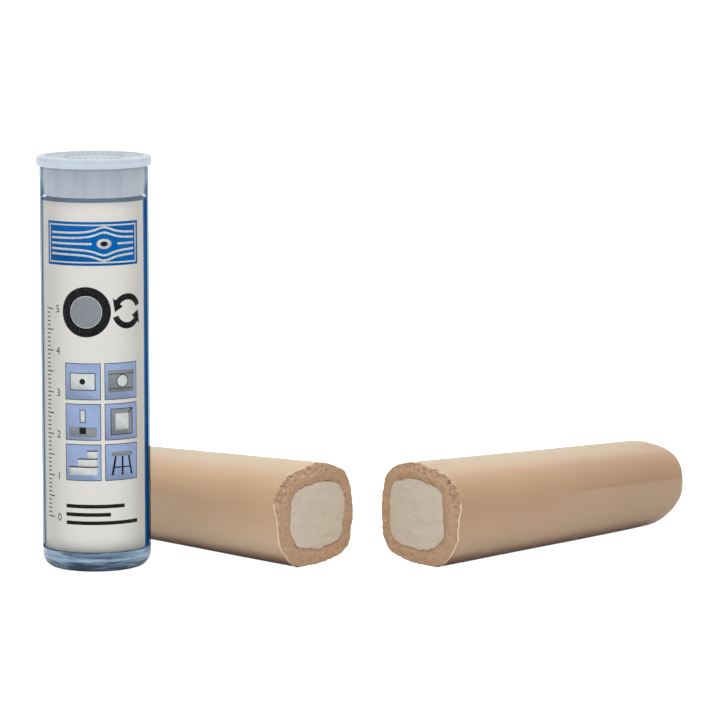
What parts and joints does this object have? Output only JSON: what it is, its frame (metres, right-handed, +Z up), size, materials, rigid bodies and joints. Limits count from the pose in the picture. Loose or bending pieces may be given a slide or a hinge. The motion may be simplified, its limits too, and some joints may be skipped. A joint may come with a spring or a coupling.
{
  "type": "wood epoxy putty stick",
  "caption": "Kneadable wood putty stick with a resin sheath and a hardener core, in a clear tube with a rolled label and a push-in plug cap, beside a stick cut across.",
  "frame": {"origin": "on the tube's axis, at the underside of its floor, on the table that the set stands on", "axes": "+Z up along the tube's axis, +X from the tube towards the cut pieces, +Y away from the picture's camera"},
  "size_m": [0.1603, 0.0796, 0.099],
  "materials": {
    "clear_plastic": "clear, slightly blue, polished",
    "frosted_plastic": "translucent, frosted",
    "label_paper": null,
    "clear_film": "thin clear film",
    "tan_resin": "firm putty, matt",
    "cream_hardener": "firm putty, matt"
  },
  "bodies": {
    "tube": {"clear_tube": "clear_plastic", "label_insert": "label_paper"},
    "cap": {"plug_cap": "frosted_plastic"},
    "stored_stick": {"stored_film_wrap": "clear_film", "stored_resin_sheath": "tan_resin", "stored_hardener_core": "cream_hardener"},
    "left_piece": {"left_film_wrap": "clear_film", "left_resin_sheath": "tan_resin", "left_hardener_core": "cream_hardener"},
    "right_piece": {"right_film_wrap": "clear_film", "right_resin_sheath": "tan_resin", "right_hardener_core": "cream_hardener"}
  },
  "joints": [
    {"name": "cap_pull", "type": "slide", "parent": "tube", "child": "cap", "axis": [0, 0, 1], "range_m": [0, 0.03]},
    {"name": "stored_stick_slide", "type": "slide", "parent": "tube", "child": "stored_stick", "axis": [0, 0, 1], "range_m": [0, 0.0041]},
    {"name": "left_piece_lift", "type": "slide", "parent": "tube", "child": "left_piece", "axis": [0, 0, 1], "range_m": [0, 0.05]},
    {"name": "right_piece_lift", "type": "slide", "parent": "tube", "child": "right_piece", "axis": [0, 0, 1], "range_m": [0, 0.05]}
  ]
}
